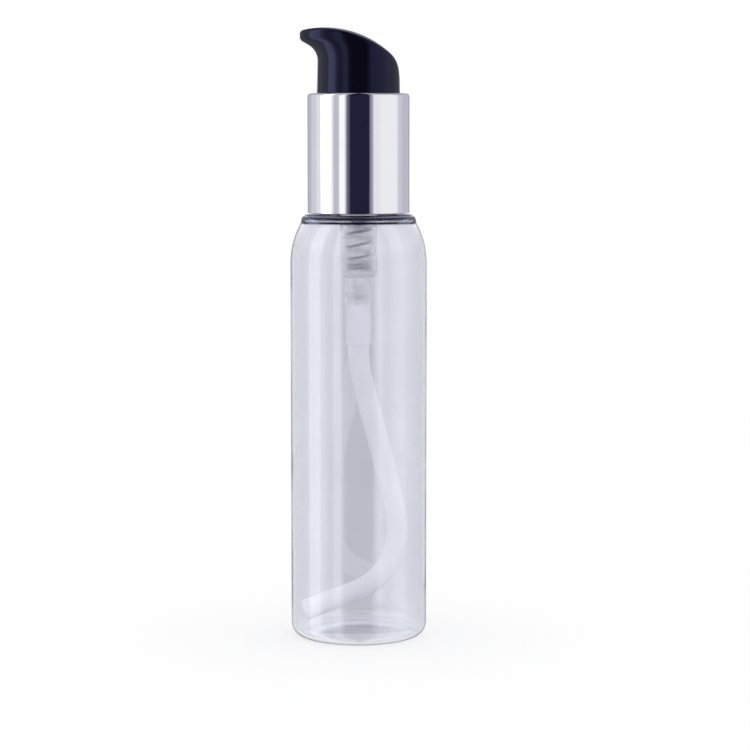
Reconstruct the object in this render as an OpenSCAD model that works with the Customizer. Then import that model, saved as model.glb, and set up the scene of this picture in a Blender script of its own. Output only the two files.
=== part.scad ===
// Clear oil bottle with a press pump: a screw closure under a bright collar, a beaked press head,
// and a pump with its return spring and dip tube inside the bottle.
// Millimetres, +Z up, origin at the middle of the base, beak towards -X.

/* [Bottle] */
// Outside diameter of the body
body_d = 39; // [36:0.5:44]
// Height from the base to the flat top of the shoulder
body_h = 121.75; // [105:0.05:140]
// Wall of the body
body_wall = 0.9; // [0.7:0.05:1.2]
// Thickness of the base at its middle
base_t = 1.3; // [1:0.1:2]
// Rise of the hollow base at its middle
base_rise = 2.2; // [1:0.1:3]
// Outside radius of the heel
heel_r = 3.8; // [3:0.1:5]
// Width of the flat ring that the bottle stands on
foot_ring_w = 1.4; // [1:0.1:2]
// Height of the shoulder, from the straight wall to its flat top
shoulder_h = 14; // [12.5:0.1:15]
// Radius of the shoulder's curve
shoulder_r = 24; // [21:0.5:30]
// Height of the ring round the shoulder's flat top
shoulder_ring_h = 2.3; // [2.2:0.1:3]
// Radius of the top edge of that ring
shoulder_edge_r = 2; // [1.6:0.1:2.1]

/* [Neck] */
// Diameter over the neck's thread
neck_thread_d = 24; // [22:0.1:26]
// Height of the neck above the shoulder
neck_h = 16.5; // [15:0.1:18]
// Wall of the neck under its thread
neck_wall = 1.15; // [0.9:0.05:1.5]
// Depth of the thread
thread_depth = 1.05; // [0.8:0.05:1.2]
// Rise of the thread in one turn
thread_pitch = 3.175; // [2.9:0.025:3.5]
// Turns of the neck's thread
thread_turns = 1.5; // [1:0.25:1.75]
// Width of a thread ridge at its root
thread_root_w = 1.7; // [1.4:0.05:1.9]
// Width of a thread ridge at its crest
thread_crest_w = 0.8; // [0.5:0.05:1]
// Depth from the mouth to the middle of the thread's upper end
thread_start = 2.2; // [1.8:0.1:3]

/* [Closure and collar] */
// Wall of the screw closure outside its thread
closure_wall = 1.7; // [1.6:0.05:2.4]
// Thickness of the closure's top plate
closure_plate_t = 1.4; // [1:0.1:2]
// Turns of the closure's thread
closure_turns = 1.25; // [1:0.25:1.5]
// Wall of the bright collar
collar_wall = 0.55; // [0.4:0.05:0.8]
// Height of the bright collar
collar_h = 33.85; // [32:0.05:38]
// Radius of the collar's top edge
collar_edge_r = 0.9; // [0.7:0.1:1.4]
// Width of the collar's turned-in lip
collar_lip_w = 1.9; // [1.6:0.02:2.6]
// Gap between the collar and the shoulder
collar_gap = 0.4; // [0.3:0.05:1]

/* [Pump] */
// Travel of the press head
stroke = 7; // [5:0.1:8]
// Thickness of the gasket on the bottle's mouth
gasket_t = 1; // [0.6:0.1:1.5]
// Thickness of the housing's flange
flange_t = 1.2; // [0.9:0.1:1.6]
// Bore that the piston runs in
housing_bore_d = 8.4; // [7.6:0.1:9]
// Wall of the housing
housing_wall = 1.05; // [0.8:0.05:1.3]
// Depth from the flange's underside to the foot of the wide cylinder
housing_depth = 35.5; // [33:0.1:40]
// Thickness of the floor that the spring stands on
housing_floor_t = 1.5; // [1.2:0.1:2]
// Length of the tail that holds the dip tube
tail_len = 19.3; // [16:0.1:24]
// Wall of the tail
tail_wall = 1; // [0.8:0.05:1.3]
// Depth that the dip tube goes into the tail
tube_insert = 11.7; // [8:0.1:13]
// Diameter of the inlet hole under the ball
inlet_d = 2.4; // [1.8:0.1:2.8]
// Diameter of the inlet ball
ball_d = 4; // [3.5:0.1:4.4]
// Lift that the ball has before the nibs stop it
ball_lift = 1.2; // [0.8:0.1:1.4]
// Height of the piston
piston_h = 5.1; // [4.4:0.1:6]
// Travel of the piston along its rod, which opens the outlet
piston_slip = 0.8; // [0.5:0.1:1]
// Outside diameter of the stem
stem_d = 5; // [4.6:0.1:5.4]
// Bore of the stem
stem_bore_d = 3; // [2.6:0.1:3.2]
// Thickness of the retainer's flange above the closure
retainer_flange_t = 1; // [0.8:0.1:1.4]
// Height of the retainer's guide above its flange
retainer_guide_h = 1.9; // [1:0.1:2.5]

/* [Return spring] */
// Length of the spring at rest
spring_len = 15.5; // [14:0.1:17]
// Diameter of the spring's wire
wire_d = 0.6; // [0.45:0.05:0.7]
// Turns of the spring
spring_turns = 7; // [6:0.5:8]
// Gap between neighbouring turns where the spring is closest
coil_gap = 0.48; // [0.45:0.01:0.6]

/* [Press head] */
// Height of the head above the collar
head_h = 18.6; // [17:0.05:21]
// Narrowing of the head's radius from the collar up to the beak
head_taper = 0.2; // [0:0.05:0.4]
// Reach of the beak in front of the head's wall
beak_len = 5.1; // [4:0.1:7]
// Height above the collar at which the beak starts to flare
flare_start = 9.2; // [8:0.05:10]
// Radius of the flare under the beak
flare_r = 5.2; // [4.5:0.1:6]
// Radius of the beak's tip
nose_r = 1.5; // [1.2:0.1:2]
// Radius of the top from the beak to the back
crown_r = 27.5; // [25:0.5:36]
// Place of the highest point, in front of the head's middle
crown_x = 9.5; // [7:0.1:11]
// Radius of the rounded back
back_r = 8; // [6:0.1:9]
// Radius of the top from side to side
cross_r = 60; // [40:1:120]
// Radius of the edge round the top
head_edge_r = 0.8; // [0.6:0.1:1.2]
// Wall of the head's skirt
skirt_wall = 1.4; // [1.1:0.1:1.8]
// Depth from the highest point to the roof of the stem's socket
socket_roof = 13.8; // [12.5:0.1:15]
// Wall round the stem's socket
socket_wall = 1.9; // [1.4:0.1:2.4]
// Diameter of the outlet
outlet_d = 1.3; // [1:0.1:1.5]
// Depth from the highest point to the inner end of the outlet
outlet_drop = 6.5; // [6:0.1:7.5]

/* [Dip tube] */
// Outside diameter of the dip tube
tube_d = 6; // [5:0.1:6.4]
// Bore of the dip tube
tube_bore_d = 4.4; // [3.6:0.1:4.8]
// Gap between the tube and the wall where it runs beside it
tube_side_gap = 4.5; // [3:0.1:6]
// Radius of the turn near the base
tube_turn_r = 19; // [15:0.5:21]
// Angle of the turn near the base
tube_turn = 69; // [60:1:75]
// Height of the tube's open end above the base, on its middle line
tube_end_z = 7; // [6:0.1:10]
// Gap between the tube's open end and the wall, on its middle line
tube_end_gap = 3; // [2:0.1:5]
// Radius of the upper bends against the largest radius that fits there
tube_ease = 0.6; // [0.3:0.05:0.9]

/* [Hidden] */
$fn = 96;

// Clearances
push_fit = 0.02; // a piece pushed into another and held there
run_fit = 0.04; // a piece that slides or turns in a bore
thread_clear = 0.25; // radial gap between the threads
flank_gap = 0.2; // gap between the threads' flanks
plate_gap = 0.1; // above and below the closure's plate, which turns between two flanges
head_gap = 0.27; // between the head's skirt and the collar's lip
stop_gap = 0.4; // left under the head at the end of its stroke
seat_gap = 0.05; // between the ball and its seat
sink = 0.3; // depth that a ridge, nib or boss goes into the wall that carries it
over = 1; // length by which a cut runs past the face that it opens

// Points on a rounded stretch of an outline
dome_steps = 10; // half of the base
curve_steps = 9; // the heel or the shoulder
edge_steps = 6; // an outer edge
inner_steps = 4; // an inner edge

// Bottle
body_r = body_d / 2;
shoulder_z = body_h - shoulder_h;
shoulder_x = body_r - shoulder_r;
ring_z = body_h - shoulder_ring_h;
ring_r = shoulder_x + sqrt(pow(shoulder_r, 2) - pow(ring_z - shoulder_z, 2));
inner_shoulder_r = shoulder_r - body_wall;
inner_top_z = body_h - body_wall;
foot_r = body_r - heel_r;
dome_r = foot_r - foot_ring_w;

// Neck and its thread
neck_r = neck_thread_d / 2 - thread_depth;
neck_bore_r = neck_r - neck_wall;
mouth_z = body_h + neck_h;
mouth_edge = 0.4;
thread_z = mouth_z - thread_start - thread_pitch * thread_turns;
thread_fade = 30;

// Closure and collar
closure_bore_r = neck_thread_d / 2 + thread_clear;
closure_r = closure_bore_r + closure_wall;
flank_slope = (thread_root_w - thread_crest_w) / thread_depth;
ridge_step = thread_root_w - flank_slope * (thread_depth + thread_clear) / 2 + flank_gap;
collar_in_r = closure_r + push_fit;
collar_r = collar_in_r + collar_wall;
collar_z = body_h + collar_gap;
collar_top = collar_z + collar_h;
lip_z = collar_top - collar_wall;
head_r = collar_in_r - collar_lip_w - head_gap;
lip_r = head_r + head_gap;
sleeve_r = lip_r + head_gap;
closure_inset = 0.2;
closure_edge = max(collar_edge_r - collar_wall, 0) + plate_gap; // clears the collar's inner edge

// Pump stack, from the bottle's mouth
flange_z = mouth_z + gasket_t;
flange_top = flange_z + flange_t;
rim_inset = 0.05; // of the flange and gasket from the neck's rim
flange_r = neck_r - rim_inset;
plate_z = flange_top + plate_gap;
plate_top = plate_z + closure_plate_t;
bore_r = housing_bore_d / 2;
housing_r = bore_r + housing_wall;
foot_z = flange_z - housing_depth;
floor_z = foot_z + housing_floor_t;
tail_z = foot_z - tail_len;
socket_r = tube_d / 2 + push_fit;
tail_r = socket_r + tail_wall;
tube_top = tail_z + tube_insert;
plug_step = 1; // by which the plug's socket is wider than the bore
plug_r = bore_r + plug_step;
upper_r = plug_r + push_fit + housing_wall;
gasket_gap = 0.15; // between the gasket and the housing
taper_drop = 2; // from the plug down to where the housing has narrowed

// Ball and its seat, a cone at 45 degrees
ball_r = ball_d / 2;
ball_side_gap = 0.45; // oil's way past the ball
chamber_r = ball_r + ball_side_gap;
inlet_r = inlet_d / 2;
inlet_h = 1.6; // straight hole between the tube's top and the seat
seat_z = tube_top + inlet_h;
ball_z = seat_z - inlet_r + (ball_r + seat_gap) * sqrt(2);
nib_r = 0.4;
nib_hold = 0.3; // reach of a nib over the ball's side
nib_reach = ball_r - nib_hold;
nib_z = ball_z + ball_lift + sqrt(pow(ball_r + nib_r + seat_gap, 2) - pow(nib_reach, 2));

// Rod, piston, stem and retainer
rod_r = stem_bore_d / 2 - push_fit;
rod_side_gap = 0.4; // oil's way past the rod's flange
rod_flange_r = bore_r - rod_side_gap;
rod_flange_t = 0.8;
rod_flange_z = floor_z + spring_len;
rod_nose_len = 4.6;
rod_flat_gap = 0.5;
cone_step = 0.8;
cone_r = rod_flange_r - cone_step;
cone_z = rod_flange_z + rod_flange_t;
cone_h = cone_r - rod_r;
piston_rise = 0.7; // of the piston's foot up the rod's cone
piston_z = cone_z + piston_rise;
piston_top = piston_z + piston_h;
piston_r = bore_r - run_fit;
piston_lip_h = 1.3;
cone_gap = 0.1; // between the piston and what it closes against
rod_oil_gap = 0.4; // oil's way between the piston and its rod
piston_waist = 0.8; // depth of the piston between its two lips
piston_waist_r = bore_r - piston_waist;
stem_r = stem_d / 2;
stem_seat = 2.4; // of the stem's foot above the piston's foot
stem_z = piston_z + stem_seat;
stem_collar_z = piston_top + piston_slip;
stem_collar_t = 1.5;
stem_collar_gap = 0.8;
stem_collar_r = bore_r - stem_collar_gap;
rest_gap = 0.3; // between the stem's collar and the plug that stops it
plug_z = stem_collar_z + stem_collar_t + rest_gap;
rod_hold = 6; // of the rod in the stem, above the stem's collar
rod_top = stem_collar_z + rod_hold;
retainer_step = 1.3;
retainer_neck_r = plug_r + retainer_step;
retainer_brim = 2.1;
retainer_flange_r = retainer_neck_r + retainer_brim;
retainer_flange_z = plate_top + plate_gap;
retainer_top = retainer_flange_z + retainer_flange_t;
guide_top = retainer_top + retainer_guide_h;
guide_wall = 1.5;
guide_r = stem_r + guide_wall;
plate_hole_gap = 0.2;
plate_hole_r = retainer_neck_r + plate_hole_gap;

// Spring: closed turns at both ends, opening over a smooth run of turns
wire_r = wire_d / 2;
spring_side_gap = 0.55; // between the spring and the bore
spring_r = bore_r - spring_side_gap - wire_r;
spring_z = floor_z + push_fit;
spring_rise = spring_len - 2 * push_fit - wire_d;
end_pitch = wire_d + coil_gap;
opening_turn = 1.4;
opening_run = 2.2;
closed_turns = 0.8; // at the spring's upper end
closing_turn = spring_turns - closed_turns - opening_run;
curl_rings = 8;
wire_sides = 6;

// Head
head_top = collar_top + head_h;
skirt_z = plate_top + stroke + stop_gap;
skirt_bore_r = head_r - skirt_wall;
top_r = head_r - head_taper;
flare_z = collar_top + flare_start;
flare_turn = 60;
flare_end_z = flare_z + flare_r * sin(flare_turn);
flare_end_x = top_r + flare_r * (1 - cos(flare_turn));
beak_reach = top_r + beak_len;
nose_x = beak_reach - nose_r;
nose_rise = (nose_x + nose_r * cos(flare_turn) - flare_end_x) / tan(flare_turn);
nose_z = flare_end_z + nose_r * sin(flare_turn) + nose_rise;
beak_pinch = 0.5;
crown_z = head_top - crown_r;
back_x = top_r - back_r;
back_z = crown_z + sqrt(pow(crown_r - back_r, 2) - pow(back_x + crown_x, 2));
back_join_x = -crown_x + (back_x + crown_x) * crown_r / (crown_r - back_r);
pole_x = (top_r - beak_reach) / 2;
roof_z = head_top - socket_roof;
cavity_rise = 2.2; // of the skirt's hollow above the socket's roof
cavity_top = roof_z + cavity_rise;
socket_z = guide_top + stroke + stop_gap;
outlet_z = head_top - outlet_drop;
outlet_lift = 0.3; // of the outlet's end above the tip's middle
outlet_rise = nose_z + outlet_lift - outlet_z;
outlet_angle = atan2(beak_reach, outlet_rise);
wall_levels = [0.3, 0.5, 0.58, 0.66, 0.73, 0.79, 0.85, 0.9, 0.94, 0.97, 1];
top_rings = 10;
top_span = 85; // share of the top that its rings cover, as an angle
head_sides = 48;

// Dip tube, in the plane y = 0: an S bend down beside the wall, then a turn across the base
tube_r = tube_d / 2;
side_x = body_r - body_wall - tube_side_gap - tube_r;
end_x = -(body_r - body_wall - tube_end_gap);
turn_end_x = side_x - tube_turn_r * (1 - cos(tube_turn));
end_run = (turn_end_x - end_x) / sin(tube_turn);
turn_end_z = tube_end_z + end_run * cos(tube_turn);
turn_z = turn_end_z + tube_turn_r * sin(tube_turn);
bend_top = tail_z - 1;
bend_drop = bend_top - turn_z;
bend_r = tube_ease * (pow(bend_drop, 2) + pow(side_x, 2)) / (4 * side_x);
bend_dx = 2 * bend_r - side_x;
lean_len = sqrt(pow(bend_dx, 2) + pow(bend_drop, 2) - pow(2 * bend_r, 2));
lean = atan2(bend_drop, bend_dx) - atan2(lean_len, 2 * bend_r);
bend_rings = 5;
turn_rings = 12;
tube_sides = 16;

// Points along an arc, by angle
function arc(x, z, r, from, to, steps) = [
    for (i = [0:steps])
        let (a = from + (to - from) * i / steps)
        [x + r * cos(a), z + r * sin(a)]
];

// Points along a dome on the axis, from one of its ends to the other
function dome(r, z, rise, outwards, steps) =
    let (big_r = (r * r + rise * rise) / (2 * rise), half = asin(r / big_r))
    arc(0, z + rise - big_r, big_r, outwards ? 90 : 90 - half, outwards ? 90 - half : 90, steps);

// Triangles of a tube of equal rings with closed ends
function tube_faces(rings, sides) = concat(
    [for (i = [0:rings - 2], j = [0:sides - 1], half = [0, 1])
        let (a = i * sides + j, b = i * sides + (j + 1) % sides)
        half == 0 ? [a, b + sides, b] : [a, a + sides, b + sides]],
    [for (j = [1:sides - 2]) [0, j, j + 1]],
    [for (j = [1:sides - 2]) let (e = (rings - 1) * sides) [e, e + j + 1, e + j]]
);

// Triangles of an open-ended tube whose rings hold the outer points and then the bore's points
function hollow_faces(rings, sides) =
    let (ring = 2 * sides, last = (rings - 1) * ring)
    concat(
        [for (i = [0:rings - 2], j = [0:sides - 1], half = [0, 1])
            let (a = i * ring + j, b = i * ring + (j + 1) % sides)
            half == 0 ? [a, b, b + ring] : [a, b + ring, a + ring]],
        [for (i = [0:rings - 2], j = [0:sides - 1], half = [0, 1])
            let (a = i * ring + sides + j, b = i * ring + sides + (j + 1) % sides)
            half == 0 ? [a, b + ring, b] : [a, a + ring, b + ring]],
        [for (j = [0:sides - 1], half = [0, 1])
            let (k = (j + 1) % sides)
            half == 0 ? [j, sides + k, k] : [j, sides + j, sides + k]],
        [for (j = [0:sides - 1], half = [0, 1])
            let (a = last + j, b = last + (j + 1) % sides)
            half == 0 ? [a, b, b + sides] : [a, b + sides, a + sides]]
    );

// Height of a ridge at a turn angle, which fades out at both ends
function ridge_fade(a, all) = min(1, a / thread_fade, (all - a) / thread_fade);

// Points of a thread ridge, four to a ring
function ridge_points(root_r, height, z, turns, steps) = [
    for (i = [0:steps])
        let (all = 360 * turns, a = all * i / steps, rise = z + thread_pitch * a / 360)
        let (crest_r = root_r + height * ridge_fade(a, all), sunk_r = root_r - sink * sign(height))
        for (p = [[sunk_r, -thread_root_w], [crest_r, -thread_crest_w],
                  [crest_r, thread_crest_w], [sunk_r, thread_root_w]])
            [p[0] * cos(a), p[0] * sin(a), rise + p[1] / 2]
];

// A thread ridge that stands out from a neck, or in from a bore where its height is negative
module thread_ridge(root_r, height, z, turns) {
    steps = ceil(turns * 36);
    faces = tube_faces(steps + 1, 4);
    polyhedron(
        ridge_points(root_r, height, z, turns, steps),
        height < 0 ? faces : [for (f = faces) [f[0], f[2], f[1]]]);
}

// Part of the way opened, integrated over turns
function opened(u) = u <= 0 ? 0 : u >= 1 ? u - 0.5 : pow(u, 3) - pow(u, 4) / 2;
function opened_turns(t) =
    opening_run * (opened((t - opening_turn) / opening_run) - opened((t - closing_turn) / opening_run));
function wire_rise(t) =
    end_pitch * t + (spring_rise - end_pitch * spring_turns) * opened_turns(t) / opened_turns(spring_turns);

// Middle line of the spring's wire, with a straight tangent end of one wire diameter
function wire_point(t) = [
    spring_r * cos(360 * t), spring_r * sin(360 * t), spring_z + wire_r + wire_rise(t)];
function wire_tangent(t) = [-sin(360 * t), cos(360 * t), 0];
wire_line = concat(
    [wire_point(0) - wire_d * wire_tangent(0)],
    [for (i = [0:spring_turns * curl_rings]) wire_point(i / curl_rings)],
    [wire_point(spring_turns) + wire_d * wire_tangent(spring_turns)]
);
function wire_turn(i) = min(max(i - 1, 0), spring_turns * curl_rings) / curl_rings;
function wire_ring(i) =
    let (t = wire_turn(i), out = [cos(360 * t), sin(360 * t), 0])
    [for (j = [0:wire_sides - 1])
        let (a = 360 * j / wire_sides)
        wire_line[i] + wire_r * (cos(a) * out + sin(a) * [0, 0, 1])];

wire_gap = min([
    for (i = [0:len(wire_line) - 1], j = [i + curl_rings / 2:len(wire_line) - 1])
        if (j < len(wire_line)) norm(wire_line[i] - wire_line[j]) - wire_d
]);
echo(str("Least gap of the return spring to itself, mm: ", wire_gap));

// Head: radius of the round wall, reach of the front, and height of the top
function wall_r(z) = head_r - head_taper * min(max((z - collar_top) / flare_start, 0), 1);
function front_reach(z) =
    z <= flare_z ? wall_r(z)
    : z <= flare_end_z ? top_r + flare_r - sqrt(pow(flare_r, 2) - pow(z - flare_z, 2))
    : z <= nose_z - nose_r * sin(flare_turn) ? flare_end_x + (z - flare_end_z) * tan(flare_turn)
    : z <= nose_z ? nose_x + sqrt(pow(nose_r, 2) - pow(nose_z - z, 2))
    : beak_reach;
function top_z(x) =
    x <= back_join_x ? crown_z + sqrt(pow(crown_r, 2) - pow(x + crown_x, 2))
    : back_z + sqrt(max(pow(back_r, 2) - pow(x - back_x, 2), 0));
function crown(p) = top_z(p[0]) - pow(p[1], 2) / (2 * cross_r);

// Outline of the head at a height, by the angle from the beak
function head_outline(a, z) =
    let (r = wall_r(z), reach = front_reach(z))
    cos(a) <= 0 ? [-r * cos(a), -r * sin(a)]
    : [-reach * cos(a), -r * sin(a) * (1 - beak_pinch * (1 - r / reach) * pow(cos(a), 2))];

// Height of the edge round the top, by halving the span that holds it
function edge_z(a, low, high, tries) =
    let (z = (low + high) / 2)
    tries == 0 ? z
    : crown(head_outline(a, z)) - head_edge_r > z ? edge_z(a, z, high, tries - 1)
    : edge_z(a, low, z, tries - 1);
function edge_drop(s) =
    s >= head_edge_r ? 0 : head_edge_r - sqrt(pow(head_edge_r, 2) - pow(head_edge_r - s, 2));

// One point of the top, drawn in from the edge towards the pole
function top_point(edge, share) =
    let (pole = [pole_x, 0], p = pole + share * (edge - pole))
    [p[0], p[1], crown(p) - edge_drop((1 - share) * norm(edge - pole))];

head_angles = [for (j = [0:head_sides - 1]) 360 * j / head_sides];
head_edges = [for (a = head_angles) edge_z(a, collar_top, head_top, 24)];
function wall_ring(level) = [
    for (j = [0:head_sides - 1])
        let (z = collar_top + level * (head_edges[j] - collar_top))
        let (p = head_outline(head_angles[j], z))
        [p[0], p[1], z]
];
function top_ring(share) = [
    for (j = [0:head_sides - 1])
        top_point(head_outline(head_angles[j], head_edges[j]), share)
];
head_points = concat(
    [for (a = head_angles) [-head_r * cos(a), -head_r * sin(a), skirt_z]],
    wall_ring(0),
    [for (level = wall_levels) each wall_ring(level)],
    [for (i = [1:top_rings]) each top_ring(cos(top_span * i / top_rings))]
);

// Middle line of the dip tube from its top, as x, z and the lean of its run from straight down
tube_route = concat(
    [[0, tube_top - push_fit, 0]],
    [for (i = [0:bend_rings])
        let (a = lean * i / bend_rings)
        [bend_r * (1 - cos(a)), bend_top - bend_r * sin(a), a]],
    [for (i = [0:bend_rings])
        let (a = lean * (1 - i / bend_rings))
        [side_x - bend_r * (1 - cos(a)), turn_z + bend_r * sin(a), a]],
    [for (i = [1:turn_rings])
        let (a = -tube_turn * i / turn_rings)
        [side_x - tube_turn_r * (1 - cos(a)), turn_z + tube_turn_r * sin(a), a]],
    [[end_x, tube_end_z, -tube_turn]]
);
function route_ring(p, r) = [
    for (j = [0:tube_sides - 1])
        let (a = 360 * j / tube_sides)
        [p[0] + r * cos(a) * cos(p[2]), r * sin(a), p[1] + r * cos(a) * sin(p[2])]
];

// A ring of material between two radii
module sleeve(outer_r, inner_r, low, high) {
    translate([0, 0, low])
        linear_extrude(high - low)
            difference() {
                circle(outer_r);
                circle(inner_r);
            }
}

module bottle() {
    color([0.84, 0.86, 0.9, 0.4])
        union() {
            rotate_extrude()
                polygon(concat(
                    dome(dome_r, 0, base_rise, true, dome_steps),
                    arc(foot_r, heel_r, heel_r, -90, 0, curve_steps),
                    arc(shoulder_x, shoulder_z, shoulder_r, 0, asin((ring_z - shoulder_z) / shoulder_r),
                        curve_steps),
                    arc(ring_r - shoulder_edge_r, body_h - shoulder_edge_r, shoulder_edge_r,
                        0, 90, edge_steps),
                    [[neck_r, body_h], [neck_r, mouth_z - mouth_edge], [neck_r - mouth_edge, mouth_z],
                     [neck_bore_r, mouth_z]],
                    arc(neck_bore_r + body_wall, body_h, body_wall, 180, 270, inner_steps),
                    arc(shoulder_x, shoulder_z, inner_shoulder_r,
                        asin((inner_top_z - shoulder_z) / inner_shoulder_r), 0, curve_steps),
                    arc(foot_r, heel_r, heel_r - body_wall, 0, -90, curve_steps),
                    dome(dome_r, body_wall, base_rise + base_t - body_wall, false, dome_steps)));
            thread_ridge(neck_r, thread_depth, thread_z, thread_turns);
        }
}

module neck_gasket() {
    color("white")
        sleeve(flange_r, upper_r + gasket_gap, mouth_z, flange_z);
}

module screw_closure() {
    color([0.08, 0.08, 0.1])
        union() {
            rotate_extrude()
                polygon([
                    [closure_r, collar_z + closure_inset], [closure_r, lip_z - plate_gap - closure_edge],
                    [closure_r - closure_edge, lip_z - plate_gap],
                    [sleeve_r, lip_z - plate_gap], [sleeve_r, plate_top],
                    [plate_hole_r, plate_top], [plate_hole_r, plate_z],
                    [closure_bore_r, plate_z], [closure_bore_r, collar_z + closure_inset]]);
            thread_ridge(closure_bore_r, -thread_depth, thread_z - ridge_step, closure_turns);
        }
}

module collar_shell() {
    edge_x = collar_r - collar_edge_r;
    edge_top = collar_top - collar_edge_r;
    color([0.86, 0.87, 0.9])
        rotate_extrude()
            polygon(concat(
                [[collar_r, collar_z]],
                arc(edge_x, edge_top, collar_edge_r, 0, 90, edge_steps),
                [[lip_r, collar_top], [lip_r, lip_z]],
                arc(edge_x, edge_top, collar_edge_r - collar_wall, 90, 0, inner_steps),
                [[collar_in_r, collar_z]]));
}

module pump_housing() {
    taper_z = plug_z - taper_drop;
    color([0.9, 0.92, 0.95, 0.5])
        union() {
            rotate_extrude()
                polygon([
                    [flange_r, flange_z], [flange_r, flange_top],
                    [plug_r + push_fit, flange_top], [plug_r + push_fit, plug_z - plate_gap],
                    [bore_r, plug_z - plate_gap], [bore_r, floor_z],
                    [chamber_r, floor_z], [chamber_r, seat_z + chamber_r - inlet_r],
                    [inlet_r, seat_z], [inlet_r, tube_top],
                    [socket_r, tube_top], [socket_r, tail_z],
                    [tail_r, tail_z], [tail_r, foot_z],
                    [housing_r, foot_z + housing_r - tail_r], [housing_r, taper_z - (upper_r - housing_r)],
                    [upper_r, taper_z], [upper_r, flange_z]]);
            for (a = [0, 120, 240])
                rotate([0, 0, a])
                    translate([nib_reach, 0, nib_z])
                        rotate([0, 90, 0])
                            cylinder(r = nib_r, h = chamber_r + sink - nib_reach);
        }
}

module housing_retainer() {
    color([0.93, 0.94, 0.95])
        rotate_extrude()
            polygon([
                [stem_r + run_fit, plug_z], [plug_r, plug_z],
                [plug_r, flange_top], [retainer_neck_r, flange_top],
                [retainer_neck_r, retainer_flange_z], [retainer_flange_r, retainer_flange_z],
                [retainer_flange_r, retainer_top], [guide_r, retainer_top],
                [guide_r, guide_top], [stem_r + run_fit, guide_top]]);
}

module inlet_ball() {
    color([0.8, 0.85, 0.88])
        translate([0, 0, ball_z])
            sphere(ball_r);
}

module return_spring() {
    color([0.62, 0.63, 0.65])
        polyhedron(
            [for (i = [0:len(wire_line) - 1]) each wire_ring(i)],
            [for (f = tube_faces(len(wire_line), wire_sides)) [f[0], f[2], f[1]]]);
}

module piston() {
    seat_r = cone_r - piston_rise + cone_gap;
    inner_r = rod_r + rod_oil_gap;
    step_z = stem_z - piston_slip - cone_gap;
    color([0.95, 0.95, 0.95])
        rotate_extrude()
            polygon([
                [seat_r, piston_z], [piston_r, piston_z],
                [piston_r, piston_z + piston_lip_h], [piston_waist_r, piston_z + piston_lip_h],
                [piston_waist_r, piston_top - piston_lip_h], [piston_r, piston_top - piston_lip_h],
                [piston_r, piston_top], [stem_r + run_fit, piston_top],
                [stem_r + run_fit, step_z], [inner_r, step_z],
                [inner_r, piston_z + seat_r - inner_r]]);
}

module piston_rod() {
    flat_h = rod_top - cone_z - cone_h;
    color([0.75, 0.77, 0.8])
        difference() {
            rotate_extrude()
                polygon([
                    [0, rod_flange_z - rod_nose_len], [rod_r, rod_flange_z - rod_nose_len],
                    [rod_r, rod_flange_z], [rod_flange_r, rod_flange_z],
                    [rod_flange_r, cone_z], [cone_r, cone_z],
                    [rod_r, cone_z + cone_h], [rod_r, rod_top], [0, rod_top]]);
            for (side = [-1, 1])
                translate([side * rod_r - rod_flat_gap, -rod_r, cone_z + cone_h])
                    cube([2 * rod_flat_gap, 2 * rod_r, flat_h + over]);
        }
}

module stem() {
    color([0.93, 0.94, 0.95])
        rotate_extrude()
            polygon([
                [stem_bore_d / 2, stem_z], [stem_r, stem_z],
                [stem_r, stem_collar_z], [stem_collar_r, stem_collar_z],
                [stem_collar_r, stem_collar_z + stem_collar_t], [stem_r, stem_collar_z + stem_collar_t],
                [stem_r, roof_z - push_fit], [stem_bore_d / 2, roof_z - push_fit]]);
}

module press_head() {
    socket_bore_r = stem_r + run_fit;
    color([0.1, 0.09, 0.17])
        difference() {
            union() {
                difference() {
                    polyhedron(head_points, tube_faces(len(head_points) / head_sides, head_sides));
                    translate([0, 0, skirt_z - over])
                        cylinder(r = skirt_bore_r, h = cavity_top - skirt_z + over);
                }
                translate([0, 0, socket_z])
                    cylinder(r = socket_bore_r + socket_wall, h = cavity_top - socket_z + sink);
            }
            translate([0, 0, socket_z - over])
                cylinder(r = socket_bore_r, h = roof_z - socket_z + over);
            translate([0, 0, roof_z - over])
                cylinder(d = stem_bore_d, h = outlet_z - roof_z + over + outlet_d / 2);
            translate([0, 0, outlet_z])
                rotate([0, -outlet_angle, 0])
                    cylinder(d = outlet_d, h = beak_reach / sin(outlet_angle) + over);
        }
}

module dip_tube() {
    color([0.92, 0.93, 0.95, 0.6])
        polyhedron(
            [for (p = tube_route) each concat(route_ring(p, tube_r), route_ring(p, tube_bore_d / 2))],
            hollow_faces(len(tube_route), tube_sides));
}

bottle();
neck_gasket();
screw_closure();
collar_shell();
pump_housing();
housing_retainer();
inlet_ball();
return_spring();
piston();
piston_rod();
stem();
press_head();
dip_tube();
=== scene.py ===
import math

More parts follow.
